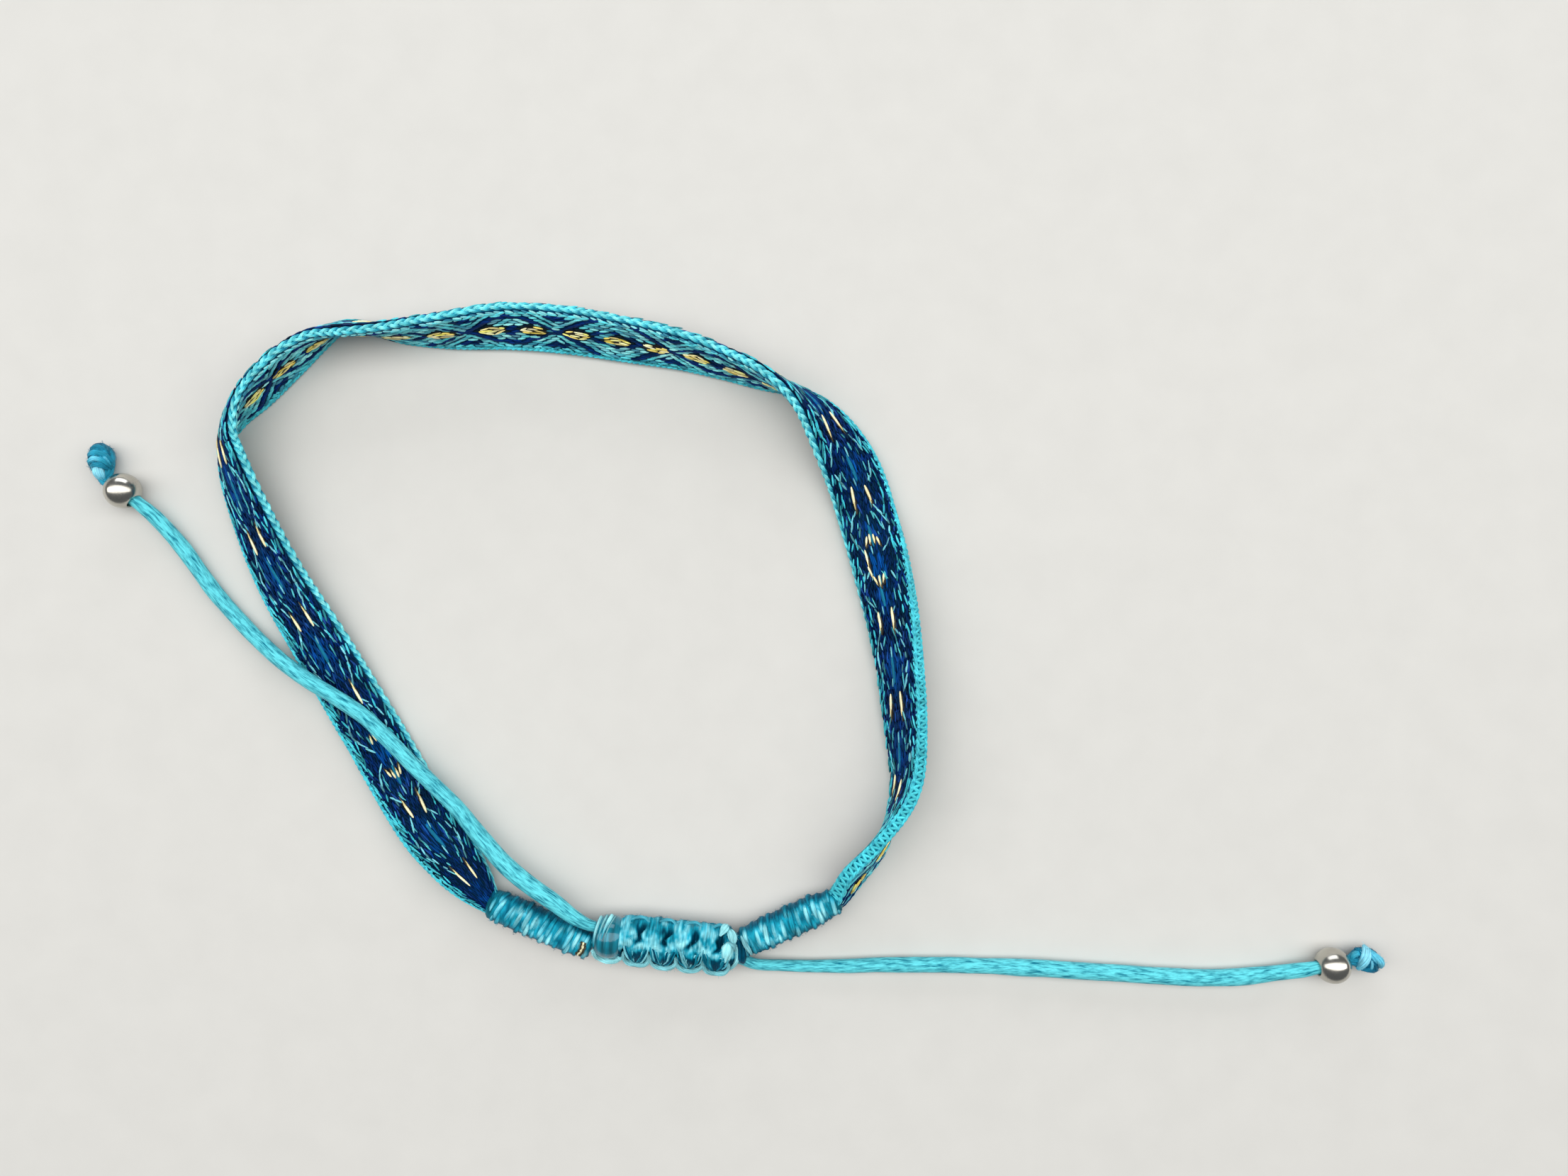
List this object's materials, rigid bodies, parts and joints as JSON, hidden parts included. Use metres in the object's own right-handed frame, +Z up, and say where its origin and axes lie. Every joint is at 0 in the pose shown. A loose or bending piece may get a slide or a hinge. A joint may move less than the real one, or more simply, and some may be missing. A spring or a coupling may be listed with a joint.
{
  "type": "textile bracelet",
  "caption": "Narrow hand-woven textile bracelet with diamond pattern, whipped ends and a sliding square-knot closure on two beaded cords.",
  "frame": {"origin": "on the surface that the bracelet lies on, under the middle of the closed loop, which is measured without the free cords", "axes": "+X across the loop, along the sliding knot and towards the right-hand bead; +Y from the knot to the far side of the band; +Z up out of the surface"},
  "size_m": [0.1109, 0.0581, 0.0053],
  "materials": {
    "woven_band": "navy and cyan woven cotton with gold stitches",
    "whipping_thread": "wound satin thread",
    "knot_cord": "tight satin cord",
    "satin_cord": "smooth satin cord",
    "bead_metal": "polished"
  },
  "bodies": {
    "root": {"woven_band": "woven_band", "left_whipping": "whipping_thread", "right_whipping": "whipping_thread", "sliding_knot": "knot_cord", "left_cord": "satin_cord", "right_cord": "satin_cord", "left_bead": "bead_metal", "right_bead": "bead_metal", "left_end_knot": "satin_cord", "right_end_knot": "satin_cord"}
  },
  "joints": []
}
